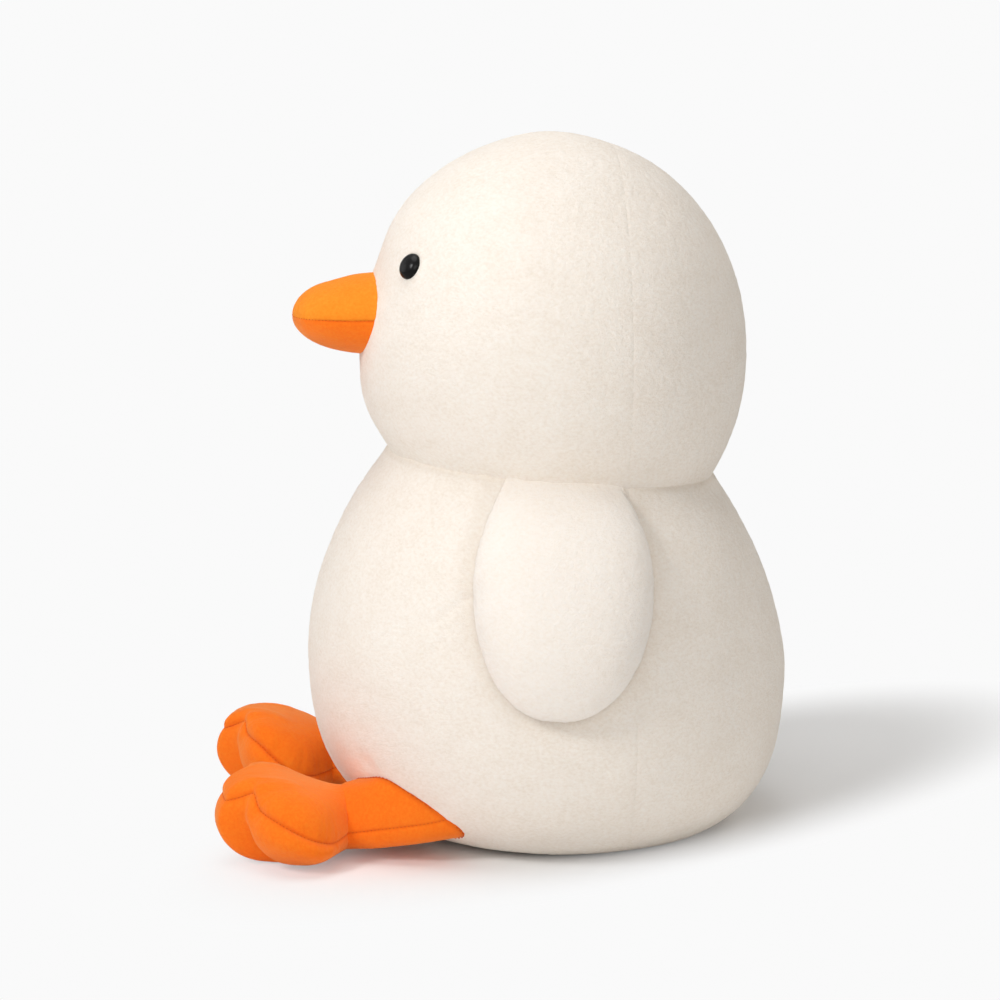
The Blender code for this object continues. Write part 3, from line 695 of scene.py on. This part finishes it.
def lumpy(mesh, amount, size, seed):
    """Slow unevenness of the stuffing under the cover."""
    points = coordinates(mesh)
    move_to(mesh, points + normals(mesh) * (amount * grain(points, size, seed))[:, None])


def grounded(mesh):
    """Keep the mesh on or above the floor."""
    points = coordinates(mesh)
    points[:, 2] = np.maximum(points[:, 2], 0.0001)
    move_to(mesh, points)


def tucked(mesh):
    """Fill the crease where the head is sewn on with pile, and paint a little shade along that line."""
    points = coordinates(mesh)
    level = points[:, 2] + points[:, 1] * NECK_TILT
    distance = np.abs(level - NECK_HEIGHT)
    outward = 0.0013 * np.exp(-distance / 0.0035)
    length = np.hypot(points[:, 0], points[:, 1])
    points[:, :2] *= (1 + outward / length)[:, None]
    move_to(mesh, points)
    paint_crease_shade(mesh, distance, 0.0016, 0.14)


def dented(mesh, sign, start, end, depth, width):
    """A shallow fold, or a dimple where both ends are the same, on the side of this sign."""
    points = coordinates(mesh)
    start, end = np.array(start) * [sign, 1, 1], np.array(end) * [sign, 1, 1]
    along = end - start
    share = np.clip((points - start) @ along / max(along @ along, 1e-12), 0, 1)
    distance = np.linalg.norm(points - start - share[:, None] * along, axis=1)
    move_to(mesh, points - normals(mesh) * (depth * bell(distance, width))[:, None])


def shade_by_wing_edge(mesh, pad):
    """Note where the edge of a wing lies on the pile, as painted shade along that edge."""
    share = np.linspace(0, 1, 120)
    one = np.ones(120)
    sides = [pad.points(share, one, 1), pad.points(share, -one, 1), pad.points(one, 2 * share - 1, 1)]
    edge = np.concatenate(sides)
    tree = kdtree.KDTree(len(edge))
    for i, point in enumerate(edge):
        tree.insert(point, i)
    tree.balance()
    distance = np.array([tree.find(p)[2] for p in coordinates(mesh)])
    paint_crease_shade(mesh, distance - WING_STANDOFF, 0.0060, 0.13)


def panels(obj, names, material):
    """Separate the faces by their material index into objects of their own."""
    made = []
    for index, name in enumerate(names):
        bm = bmesh.new()
        bm.from_mesh(obj.data)
        other = [f for f in bm.faces if f.material_index != index]
        bmesh.ops.delete(bm, geom=other, context="FACES")
        for face in bm.faces:
            face.material_index = 0
            face.smooth = True
        mesh = bpy.data.meshes.new(name)
        bm.to_mesh(mesh)
        bm.free()
        mesh.materials.append(material)
        piece = bpy.data.objects.new(name, mesh)
        bpy.context.scene.collection.objects.link(piece)
        made.append(piece)
    mesh = obj.data
    bpy.data.objects.remove(obj, do_unlink=True)
    bpy.data.meshes.remove(mesh)
    return made


def split_at(mesh, place):
    """Cut the mesh along a plane across Y, and give what lies behind it the second index."""
    bm = bmesh.new()
    bm.from_mesh(mesh)
    geometry = list(bm.verts) + list(bm.edges) + list(bm.faces)
    bmesh.ops.bisect_plane(bm, geom=geometry, dist=1e-5, plane_co=(0, place, 0), plane_no=(0, 1, 0))
    for face in bm.faces:
        face.material_index = int(face.calc_center_median().y > place)
    bm.to_mesh(mesh)
    bm.free()


def even_levels(radius, low, high, count):
    """Heights whose rows lie evenly along a profile."""
    fine = low + (high - low) * (1 - np.cos(np.linspace(0, math.pi, 800))) / 2
    path = np.concatenate([[0], np.cumsum(np.hypot(np.diff(fine), np.diff(radius(fine))))])
    return np.interp(np.linspace(0, path[-1], count), path, fine)


def body_cover():
    """The body from the base's rim to a hem inside the head."""
    rows, columns = 96, 280
    levels = even_levels(body_radius, 0.0, NECK_HEIGHT + NECK_HEM, rows)
    turn = np.linspace(0, 2 * math.pi, columns, endpoint=False)
    height, turn = np.meshgrid(levels, turn, indexing="ij")
    points = body_point(height, turn)
    faces = grid_faces(rows, columns, closed=True)
    return new_object("body_cover", points.reshape(-1, 3), faces, VELOUR)


def head_cover():
    """The head on an even grid of six faces, open below, with a hem inside the body."""
    bm = bmesh.new()
    bmesh.ops.create_cube(bm, size=2)
    bmesh.ops.subdivide_edges(bm, edges=bm.edges, cuts=37, use_grid_fill=True)
    mesh = bpy.data.meshes.new("head_cover")
    bm.to_mesh(mesh)
    bm.free()
    points = np.tan(coordinates(mesh) * math.pi / 4)
    points /= np.linalg.norm(points, axis=1)[:, None]
    up = points[:, 2]
    round_ = np.maximum(np.hypot(points[:, 0], points[:, 1]), 1e-9)
    lowest = -(HEAD_WIDEST_HEIGHT - NECK_HEIGHT + NECK_HEM) / HEAD_JOWL
    height = HEAD_WIDEST_HEIGHT + np.where(up > 0, up * HEAD_CROWN, np.maximum(up, lowest) * HEAD_JOWL)
    radius = head_radius(height) * np.where(up < lowest, round_ / math.sqrt(1 - lowest**2), 1)
    x = points[:, 0] / round_ * radius
    y = points[:, 1] / round_ * radius + HEAD_SHIFT
    move_to(mesh, at(x, y, head_place(height, y)))
    bm = bmesh.new()
    bm.from_mesh(mesh)
    bm.verts.ensure_lookup_table()
    inner = {i for i in np.nonzero(up < lowest - 0.12)[0]}
    bmesh.ops.delete(bm, geom=[v for v in bm.verts if v.index in inner], context="VERTS")
    for face in bm.faces:
        face.smooth = True
    bm.to_mesh(mesh)
    bm.free()
    mesh.materials.append(VELOUR)
    obj = bpy.data.objects.new("head_cover", mesh)
    bpy.context.scene.collection.objects.link(obj)
    return obj


def node_of(tree, kind, **values):
    node = tree.nodes.new(kind)
    for key, value in values.items():
        if hasattr(node, key):
            setattr(node, key, value)
        else:
            node.inputs[key.replace("_", " ")].default_value = value
    return node


def colour_mix(tree, factor, first, second):
    """Mix of two colours, each a socket or a value."""
    node = node_of(tree, "ShaderNodeMix", data_type="RGBA")
    sockets = {s.identifier: s for s in node.inputs}
    for name, value in (("Factor_Float", factor), ("A_Color", first), ("B_Color", second)):
        if isinstance(value, (tuple, float)):
            sockets[name].default_value = value
        else:
            tree.links.new(value, sockets[name])
    return next(s for s in node.outputs if s.identifier == "Result_Color")


def cloth(name, colours, deep, roughness, sheen, sheen_tint, clump, fibre, bump, nap=1.0):
    """Short pile: mottled colour with painted shade in creases, bump in two sizes, and sheen."""
    made = bpy.data.materials.new(name)
    made.use_nodes = True
    tree = made.node_tree
    shader = tree.nodes["Principled BSDF"]
    shader.inputs["Roughness"].default_value = roughness
    shader.inputs["Sheen Weight"].default_value = sheen
    shader.inputs["Sheen Roughness"].default_value = 0.5
    shader.inputs["Sheen Tint"].default_value = (*sheen_tint, 1)
    shader.inputs["Specular IOR Level"].default_value = 0.1
    place = node_of(tree, "ShaderNodeTexCoord")
    laid = node_of(tree, "ShaderNodeMapping")
    laid.inputs["Scale"].default_value = (1, 1, nap)
    tree.links.new(place.outputs["Object"], laid.inputs["Vector"])
    mottle = node_of(tree, "ShaderNodeTexNoise", Scale=1 / clump, Detail=3.0, Roughness=0.6)
    wide = node_of(tree, "ShaderNodeTexNoise", Scale=0.1 / clump, Detail=2.0, Roughness=0.5)
    fine = node_of(tree, "ShaderNodeTexNoise", Scale=1 / fibre, Detail=3.0, Roughness=0.7)
    for noise in (mottle, wide, fine):
        tree.links.new(laid.outputs["Vector"], noise.inputs["Vector"])
    both = node_of(tree, "ShaderNodeMix", data_type="FLOAT")
    both.inputs["Factor"].default_value = 0.25
    tree.links.new(mottle.outputs["Fac"], both.inputs["A"])
    tree.links.new(wide.outputs["Fac"], both.inputs["B"])
    ramp = node_of(tree, "ShaderNodeValToRGB")
    ramp.color_ramp.elements[0].position = 0.3
    ramp.color_ramp.elements[0].color = (*colours[0], 1)
    ramp.color_ramp.elements[1].position = 0.7
    ramp.color_ramp.elements[1].color = (*colours[2], 1)
    middle = ramp.color_ramp.elements.new(0.5)
    middle.color = (*colours[1], 1)
    tree.links.new(both.outputs["Result"], ramp.inputs["Fac"])
    # The deep colour is painted shade, mixed in where the crease attribute marks creases and seams.
    crease = node_of(tree, "ShaderNodeAttribute", attribute_name="crease")
    crease_shaded_colour = colour_mix(tree, crease.outputs["Fac"], ramp.outputs["Color"], (*deep, 1))
    tree.links.new(crease_shaded_colour, shader.inputs["Base Color"])
    low = node_of(tree, "ShaderNodeBump", Strength=bump, Distance=clump * 0.22)
    high = node_of(tree, "ShaderNodeBump", Strength=bump, Distance=fibre * 0.6)
    tree.links.new(mottle.outputs["Fac"], low.inputs["Height"])
    tree.links.new(fine.outputs["Fac"], high.inputs["Height"])
    tree.links.new(low.outputs["Normal"], high.inputs["Normal"])
    tree.links.new(high.outputs["Normal"], shader.inputs["Normal"])
    return made


# In each cloth, the colour after the three pile colours is painted shade for creases and seams.
VELOUR = cloth(
    "cream_pile",
    ((0.900, 0.805, 0.700), (0.955, 0.875, 0.785), (0.985, 0.925, 0.850)),
    (0.60, 0.47, 0.33), 0.95, 0.05, (1.0, 0.98, 0.96), 0.0022, 0.0009, 0.75, 1.5,
)
# A paler copy of the cream pile: painted light for the wings, which catch more light than the body.
LIT_WING_PILE = cloth(
    "cream_pile_wing_painted_light",
    ((0.945, 0.855, 0.760), (0.975, 0.900, 0.820), (0.985, 0.925, 0.860)),
    (0.60, 0.47, 0.33), 0.95, 0.3, (1.0, 0.98, 0.96), 0.0022, 0.0009, 0.75, 1.5,
)
ORANGE = cloth(
    "orange_pile",
    ((0.97, 0.165, 0.007), (0.99, 0.193, 0.010), (0.995, 0.227, 0.015)),
    (0.62, 0.060, 0.004), 0.9, 0.52, (1.0, 0.58, 0.26), 0.0018, 0.0007, 0.6,
)
# A lighter, yellower copy of the orange pile: painted light for the lit upper beak.
LIT_BILL_PILE = cloth(
    "bill_pile_painted_light",
    ((0.94, 0.245, 0.014), (0.97, 0.285, 0.020), (0.99, 0.325, 0.028)),
    (0.45, 0.045, 0.003), 0.9, 0.12, (1.0, 0.70, 0.36), 0.0018, 0.0007, 0.6,
)


def plastic(name, colour, roughness, shine, coat):
    """Moulded plastic with a faint unevenness in its polish."""
    made = bpy.data.materials.new(name)
    made.use_nodes = True
    tree = made.node_tree
    shader = tree.nodes["Principled BSDF"]
    shader.inputs["Base Color"].default_value = (*colour, 1)
    shader.inputs["Specular IOR Level"].default_value = shine
    shader.inputs["Coat Weight"].default_value = coat
    shader.inputs["Coat Roughness"].default_value = 0.06
    place = node_of(tree, "ShaderNodeTexCoord")
    wear = node_of(tree, "ShaderNodeTexNoise", Scale=900.0, Detail=3.0)
    tree.links.new(place.outputs["Object"], wear.inputs["Vector"])
    span = node_of(tree, "ShaderNodeMapRange")
    span.inputs["To Min"].default_value = roughness * 0.7
    span.inputs["To Max"].default_value = roughness * 1.3
    tree.links.new(wear.outputs["Fac"], span.inputs["Value"])
    tree.links.new(span.outputs["Result"], shader.inputs["Roughness"])
    return made


GLOSS = plastic("black_gloss", (0.0015, 0.0012, 0.0012), 0.24, 0.16, 0.0)
WHITE = plastic("white_plastic", (0.75, 0.75, 0.72), 0.5, 0.5, 0.0)
THREAD = cloth(
    "orange_thread",
    ((0.56, 0.075, 0.006), (0.66, 0.095, 0.008), (0.76, 0.125, 0.012)),
    (0.30, 0.040, 0.004), 0.8, 0.1, (1.0, 0.6, 0.3), 0.0012, 0.0004, 0.3,
)


def turned(name, profile, material, middle, away, count=64):
    """Solid turned from (radius, height) points round an axis."""
    turns = np.linspace(0, 2 * math.pi, count, endpoint=False)
    rings = [
        (radius * math.cos(t), radius * math.sin(t), height) for radius, height in profile for t in turns
    ]
    obj = new_object(name, rings, grid_faces(len(profile), count, closed=True), material)
    turn = Vector(away).to_track_quat("Z", "Y").to_matrix().to_4x4()
    obj.data.transform(Matrix.Translation(Vector(middle)) @ turn)
    bm = bmesh.new()
    bm.from_mesh(obj.data)
    bmesh.ops.remove_doubles(bm, verts=bm.verts, dist=1e-6)
    bmesh.ops.recalc_face_normals(bm, faces=bm.faces)
    bm.to_mesh(obj.data)
    bm.free()
    return obj


def head_normal(height, turn):
    near = 0.0003
    rise = head_point(height + near, turn) - head_point(height - near, turn)
    around = head_point(height, turn + near) - head_point(height, turn - near)
    normal = np.cross(around, rise)
    return normal / np.linalg.norm(normal)


def make_eye(side, sign):
    """A domed bead on a rounded rim."""
    turn = sign * EYE_TURN
    middle = head_point(np.array(EYE_HEIGHT), turn)
    away = head_normal(np.array(EYE_HEIGHT), turn)
    profile = []
    for i in range(25):
        lean = math.pi / 2 * i / 24
        profile.append((EYE_RADIUS * math.sin(lean), EYE_RIM + EYE_DOME * math.cos(lean)))
    for i in range(1, 9):
        lean = math.pi / 2 * i / 8
        profile.append((EYE_RADIUS - EYE_RIM * (1 - math.cos(lean)), EYE_RIM * (1 - math.sin(lean))))
    profile += [(0.0024, 0), (0.0024, -0.0125), (0, -0.0125)]
    eye = turned(side + "_eye_bead", profile, GLOSS, middle - away * 0.0012, away)
    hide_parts(side + "_eye")
    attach(eye, "torso")
    return middle, away


def dress(obj, nodes, body=None):
    """Hide the parts that a cover replaces, and attach it to its body if one is given."""
    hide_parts(*nodes)
    if body:
        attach(obj, body)


# Head and body covers
eyes = [make_eye("left", 1), make_eye("right", -1)]

body = stuffed(body_cover(), 0.0030)
subdivided(body, 1)
split_at(body.data, SEAM_PLACE)
sewn(body.data, 0.0003, 0.0012, 0.00012, 0.007, 0.006, seed=11, seam_shade=0.04)
lumpy(body.data, 0.0007, 0.034, seed=14)
for sign in (1, -1):
    shade_by_wing_edge(body.data, wing_pad(sign))
    dented(body.data, sign, *FOLD)
    dented(body.data, sign, *DIMPLE)
tucked(body.data)
piled(body.data, 0.00028, 0.0028, seed=12)
grounded(body.data)
for piece, half in zip(panels(body, ("body_front_cover", "body_back_cover"), VELOUR), ("front", "back")):
    nodes = [f"body_{half}_panel"] + (["body_filling"] if half == "front" else [])
    dress(piece, nodes, "torso")

head = stuffed(head_cover(), 0.0030)
subdivided(head, 2)
split_at(head.data, SEAM_PLACE)
sewn(head.data, 0.0002, 0.0012, 0.00010, 0.007, 0.006, seed=21, seam_shade=0.02)
points = coordinates(head.data)
away = normals(head.data)
for middle, _ in eyes:
    distance = np.linalg.norm(points - middle, axis=1)
    lift = 0.0010 * bell(distance - 0.0085, 0.0024) - 0.0010 * bell(distance, 0.014)
    points = points + away * lift[:, None]
across = np.hypot(points[:, 0] / 0.0355, (points[:, 2] - 0.300) / 0.026)
dent = mix(0.0030, 0.0040, ease((points[:, 2] - 0.285) / 0.030))
dent = dent * np.where(across < 1, 1, bell(across - 1, 0.85))
points[:, 1] += np.where(points[:, 1] < 0, dent, 0)
move_to(head.data, points)
lumpy(head.data, 0.0007, 0.036, seed=24)
tucked(head.data)
piled(head.data, 0.00028, 0.0028, seed=22)
for piece, half in zip(panels(head, ("head_front_cover", "head_back_cover"), VELOUR), ("front", "back")):
    nodes = [f"head_{half}_panel"] + (["head_filling"] if half == "front" else [])
    dress(piece, nodes, "torso")

# Base
rows, columns = 24, 96
radii = np.linspace(0.002, BASE_RADIUS + 0.0012, rows)
ring = np.linspace(0, 2 * math.pi, columns, endpoint=False)
radius, turn = np.meshgrid(radii, ring, indexing="ij")
lift = 0.0012 * ease((radius - BASE_RADIUS + 0.006) / 0.006) + 0.0004
points = at(radius * np.sin(turn), BASE_SHIFT - radius * np.cos(turn), lift).reshape(-1, 3)
faces = grid_faces(rows, columns, closed=True) + [tuple(range(columns))]
base = new_object("base_cover", points, faces, VELOUR)
outward(base.data, (0, 0, 0.01))
dress(base, ["base_panel"], "torso")

# Beak
beak = subdivided(stuffed(beak_pad().mesh("beak", 22, 26, LIT_BILL_PILE), 0.0012), 2)
back = ease((coordinates(beak.data)[:, 1] + BEAK_ROOT + BEAK_LENGTH - 0.002) / 0.020)
sewn(beak.data, 0.0009, 0.0013, 0.00030, 0.0055, 0.006, seed=31, seam_shade=0.45, share=back)
piled(beak.data, 0.00012, 0.0024, seed=32)
thread = stitched("beak_stitches", seam_runs(beak.data), **SEAM_STITCH)
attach(thread, "torso")
for piece, side in zip(panels(beak, ("beak_upper_cover", "beak_lower_cover"), LIT_BILL_PILE), ("upper", "lower")):
    # The lower beak panel keeps the redder orange pile: painted shade under the beak.
    if side == "lower":
        piece.data.materials[0] = ORANGE
    nodes = [f"beak_{side}_panel"] + (["beak_filling"] if side == "upper" else [])
    dress(piece, nodes, "torso")

# Wings, legs and feet
for side, sign in (("left", 1), ("right", -1)):
    wing = subdivided(stuffed(wing_pad(sign).mesh(side + "_wing", 34, 34, LIT_WING_PILE), 0.0020), 2)
    sewn(wing.data, 0.0007, 0.0014, 0.0003, 0.007, 0.008, seed=41, seam_shade=0.30)
    lumpy(wing.data, 0.0004, 0.022, seed=44)
    piled(wing.data, 0.00030, 0.0024, seed=42)
    names = (side + "_wing_outer_cover", side + "_wing_inner_cover")
    for piece, face in zip(panels(wing, names, LIT_WING_PILE), ("outer", "inner")):
        nodes = [f"{side}_wing_{face}_panel"] + ([side + "_wing_filling"] if face == "outer" else [])
        dress(piece, nodes)
        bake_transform(piece)

    leg = subdivided(stuffed(leg_pad(sign).mesh(side + "_leg", 20, 20, ORANGE), 0.0015), 2)
    sewn(leg.data, 0.0008, 0.0013, 0.0003, 0.0055, 0.006, seed=51)
    piled(leg.data, 0.00012, 0.0024, seed=52)
    runs = [joining_run(leg_pad(sign), face) for face in (1, -1)]
    # Painted shade on the leg where it meets the body.
    paint_crease_shade(leg.data, body_gap(coordinates(leg.data)), 0.0016, 0.55)
    joins = stitched(side + "_leg_hand_stitches", runs, **HAND_STITCH)
    seams = stitched(side + "_leg_stitches", seam_runs(leg.data), **SEAM_STITCH)
    for thread in (joins, seams):
        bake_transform(thread)
    names = (side + "_leg_upper_cover", side + "_leg_lower_cover")
    for piece, face in zip(panels(leg, names, ORANGE), ("upper", "lower")):
        nodes = [f"{side}_leg_{face}_panel"] + ([side + "_leg_filling"] if face == "upper" else [])
        dress(piece, nodes)
        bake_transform(piece)

    foot = subdivided(stuffed(foot_pad(sign).mesh(side + "_foot", 34, 60, ORANGE), 0.0020), 2)
    sewn(foot.data, 0.0011, 0.0014, 0.00045, 0.006, 0.008, seed=61)
    piled(foot.data, 0.00012, 0.0024, seed=62)
    grounded(foot.data)
    thread = stitched(side + "_foot_stitches", seam_runs(foot.data), **SEAM_STITCH)
    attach(thread, side + "_leg")
    names = (side + "_foot_top_cover", side + "_foot_sole_cover")
    for piece, face in zip(panels(foot, names, ORANGE), ("top", "sole")):
        nodes = [f"{side}_foot_{face}_panel"] + ([side + "_foot_filling"] if face == "top" else [])
        dress(piece, nodes, side + "_leg")

    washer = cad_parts[side + "_eye_washer"]
    for slot in washer.material_slots:
        slot.material = WHITE


# Floor, light and camera
PAPER = 0.955
CAMERA_TURN = math.radians(85)
CAMERA_DISTANCE = 1.658
CAMERA_OFFSET = -0.027
CAMERA_HEIGHT = 0.480
CAMERA_PITCH = 9.97
TOWARD = Vector((math.sin(CAMERA_TURN), -math.cos(CAMERA_TURN), 0))
ACROSS = Vector((math.cos(CAMERA_TURN), math.sin(CAMERA_TURN), 0))


def ground_material():
    """Pale ground that keeps the shadow near the middle and is even and near white further out."""
    made = bpy.data.materials.new("pale_ground")
    made.use_nodes = True
    tree = made.node_tree
    shader = tree.nodes["Principled BSDF"]
    shader.inputs["Base Color"].default_value = (0.90, 0.90, 0.90, 1)
    shader.inputs["Roughness"].default_value = 0.9
    shader.inputs["Specular IOR Level"].default_value = 0.05
    place = node_of(tree, "ShaderNodeTexCoord")
    zone = node_of(tree, "ShaderNodeMapping", vector_type="TEXTURE")
    zone.inputs["Location"].default_value = (-0.061, 0.079, 0)
    zone.inputs["Rotation"].default_value = (0, 0, math.radians(127.7))
    zone.inputs["Scale"].default_value = (0.36, 0.14, 1)
    tree.links.new(place.outputs["Object"], zone.inputs["Vector"])
    length = node_of(tree, "ShaderNodeVectorMath", operation="LENGTH")
    tree.links.new(zone.outputs["Vector"], length.inputs[0])
    far = node_of(tree, "ShaderNodeMapRange", interpolation_type="SMOOTHSTEP")
    far.inputs["From Min"].default_value = 0.55
    far.inputs["From Max"].default_value = 1.05
    tree.links.new(length.outputs["Value"], far.inputs["Value"])
    rays = node_of(tree, "ShaderNodeLightPath")
    seen = node_of(tree, "ShaderNodeMath", operation="MULTIPLY")
    tree.links.new(rays.outputs["Is Camera Ray"], seen.inputs[0])
    tree.links.new(far.outputs["Result"], seen.inputs[1])
    plain = node_of(tree, "ShaderNodeEmission")
    plain.inputs["Color"].default_value = (PAPER, PAPER, PAPER, 1)
    mixed = node_of(tree, "ShaderNodeMixShader")
    tree.links.new(seen.outputs[0], mixed.inputs["Fac"])
    tree.links.new(shader.outputs["BSDF"], mixed.inputs[1])
    tree.links.new(plain.outputs["Emission"], mixed.inputs[2])
    tree.links.new(mixed.outputs["Shader"], tree.nodes["Material Output"].inputs["Surface"])
    return made


GROUND = ground_material()
profile = [(2.6, 0.0), (0.0, 0.0), (-1.2, 0.0)]
profile += [(-1.2 - 0.8 * math.sin(a), 0.8 - 0.8 * math.cos(a)) for a in np.linspace(0, math.pi / 2, 25)[1:]]
profile += [(-2.0, 2.6)]
points = [
    tuple(TOWARD * far + ACROSS * wide + Vector((0, 0, up))) for far, up in profile for wide in (-2.4, 0, 2.4)
]
ground = new_object("ground", points, grid_faces(len(profile), 3), GROUND)


def softbox(name, place, aim, size, power, colour):
    lamp = bpy.data.lights.new(name, "AREA")
    lamp.shape = "DISK"
    lamp.size = size
    lamp.energy = power
    lamp.color = colour
    obj = bpy.data.objects.new(name, lamp)
    obj.location = place
    obj.rotation_euler = (Vector(aim) - Vector(place)).to_track_quat("-Z", "Y").to_euler()
    bpy.context.scene.collection.objects.link(obj)
    return obj


middle = (0, 0, 0.2)
softbox("key", (1.05, -1.35, 1.25), middle, 0.55, 15.0, (1, 1, 1))
softbox("overhead", (0.1, -0.3, 1.9), middle, 1.4, 13.0, (1, 1, 1))
softbox("camera_side", (2.0, -0.1, 0.9), middle, 1.2, 8.5, (1, 1, 1))
softbox("behind_left", (1.6, 1.3, 0.9), middle, 1.2, 5.0, (1, 0.96, 0.90))
softbox("behind_right", (-1.0, 1.2, 1.3), middle, 1.0, 5.0, (1, 0.96, 0.90))
softbox("front", (-0.35, -1.7, 0.65), middle, 0.9, 1.5, (1, 1, 1))

world = bpy.data.worlds.new("studio")
bpy.context.scene.world = world
world.use_nodes = True
tree = world.node_tree
background = tree.nodes["Background"]
background.inputs["Color"].default_value = (1, 1, 1, 1)
rays = node_of(tree, "ShaderNodeLightPath")
either = node_of(tree, "ShaderNodeMath", operation="MAXIMUM")
tree.links.new(rays.outputs["Is Camera Ray"], either.inputs[0])
tree.links.new(rays.outputs["Is Glossy Ray"], either.inputs[1])
span = node_of(tree, "ShaderNodeMapRange")
span.inputs["To Min"].default_value = 0.16
span.inputs["To Max"].default_value = PAPER
tree.links.new(either.outputs[0], span.inputs["Value"])
tree.links.new(span.outputs["Result"], background.inputs["Strength"])

lens = bpy.data.cameras.new("camera")
lens.lens = 104.72
lens.sensor_width = 36
lens.clip_start = 0.05
lens.clip_end = 50
camera = bpy.data.objects.new("camera", lens)
camera.location = TOWARD * CAMERA_DISTANCE + ACROSS * CAMERA_OFFSET + Vector((0, 0, CAMERA_HEIGHT))
camera.rotation_euler = (math.radians(90 - CAMERA_PITCH), 0, CAMERA_TURN)
bpy.context.scene.collection.objects.link(camera)
bpy.context.scene.camera = camera
bpy.context.scene.view_settings.view_transform = "Standard"
